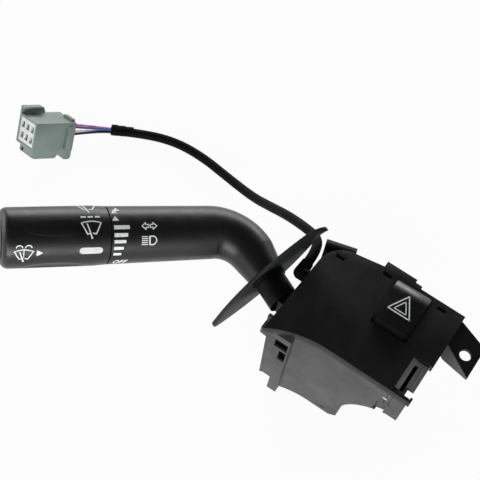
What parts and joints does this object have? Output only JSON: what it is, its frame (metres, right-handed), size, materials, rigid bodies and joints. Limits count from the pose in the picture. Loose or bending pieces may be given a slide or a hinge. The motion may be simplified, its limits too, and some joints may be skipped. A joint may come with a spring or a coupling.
{
  "type": "combination stalk switch",
  "caption": "Steering column stalk switch with turn signal lever, wiper knob, washer button and hazard button, and a taped lead with its plug.",
  "frame": {"origin": "centre of the column screw's hole, on the upper face of the ear", "axes": "+Z the way the hazard button faces, +Y along the steering column away from the driver, +X from the stalk's side of the case to the column"},
  "size_m": [0.2931, 0.1555, 0.101],
  "materials": {
    "cover_black": "grained",
    "case_grey": "grained",
    "stalk_black": "satin",
    "shield_grey": "satin",
    "inner_white": "smooth",
    "board_green": "smooth",
    "steel": "bright",
    "brass": "tinned",
    "boot_rubber": "matte",
    "lead_black": "taped",
    "wire_pink": "smooth",
    "wire_blue": "smooth",
    "wire_white": "smooth",
    "plug_grey": "smooth",
    "plug_pale": "smooth"
  },
  "bodies": {
    "case": {"lower_case": "case_grey", "column_ear": "case_grey", "rear_lug": "case_grey", "upper_case": "cover_black", "side_latch": "cover_black", "harness_guide": "cover_black", "switch_base": "inner_white", "detent_cam": "inner_white", "circuit_board": "board_green", "board_screws": "steel", "header_terminals": "brass", "hazard_spring": "steel", "cancel_pin": "steel", "cancel_spring": "steel", "lead_boot": "boot_rubber", "harness_loom": "lead_black", "wire_pink": "wire_pink", "wire_blue": "wire_blue", "wire_white": "wire_white", "wire_black": "lead_black", "plug_housing": "plug_grey", "plug_insert": "plug_pale", "plug_terminals": "brass"},
    "carrier": {"turn_carrier": "inner_white", "detent_plunger": "inner_white", "detent_spring": "steel", "beam_pin": "steel"},
    "stalk": {"lever_hub": "stalk_black", "stalk_tube": "stalk_black", "shield": "shield_grey", "stalk_wires": "lead_black", "wiper_board": "board_green", "knob_detent_ball": "steel", "knob_detent_spring": "steel"},
    "knob": {"wiper_knob": "stalk_black", "wiper_rotor": "inner_white", "washer_spring": "steel"},
    "washer": {"washer_button": "stalk_black"},
    "slider": {"turn_slider": "inner_white"},
    "hazard": {"hazard_button": "cover_black", "hazard_carriage": "inner_white"},
    "cancel": {"cancel_lever": "cover_black"}
  },
  "joints": [
    {"name": "turn_signal", "type": "hinge", "parent": "case", "child": "carrier", "pos_m": [-0.076, -0.027, -0.012], "axis": [0, 1, 0], "range_deg": [-12, 12]},
    {"name": "beam_pull", "type": "hinge", "parent": "carrier", "child": "stalk", "pos_m": [-0.076, -0.027, -0.012], "axis": [0, 0, 1], "range_deg": [0, 8], "stiffness_Nm_per_rad": 4, "springref_deg": -2.86},
    {"name": "wiper_turn", "type": "hinge", "parent": "stalk", "child": "knob", "pos_m": [-0.18147, -0.05389, 0.00288], "axis": [-0.6914, -0.6914, 0.2096], "range_deg": [-38, 85]},
    {"name": "washer_push", "type": "slide", "parent": "knob", "child": "washer", "axis": [0.6914, 0.6914, -0.2096], "range_m": [0, 0.003], "stiffness_N_per_m": 1000, "springref_m": -0.001},
    {"name": "hazard_push", "type": "slide", "parent": "case", "child": "hazard", "axis": [0, 0, -1], "range_m": [0, 0.003], "stiffness_N_per_m": 1000, "springref_m": -0.001, "deforming": ["hazard_spring"]},
    {"name": "cancel_swing", "type": "hinge", "parent": "case", "child": "cancel", "pos_m": [-0.0216, -0.033, -0.013], "axis": [0, 1, 0], "range_deg": [-10, 10], "stiffness_Nm_per_rad": 0.02},
    {"name": "slider_move", "type": "slide", "parent": "case", "child": "slider", "axis": [0, 0, 1], "range_m": [-0.0039, 0.0039]}
  ],
  "couplings": [
    {"joint": "slider_move", "follows": "turn_signal", "m_per_rad": -0.018}
  ]
}
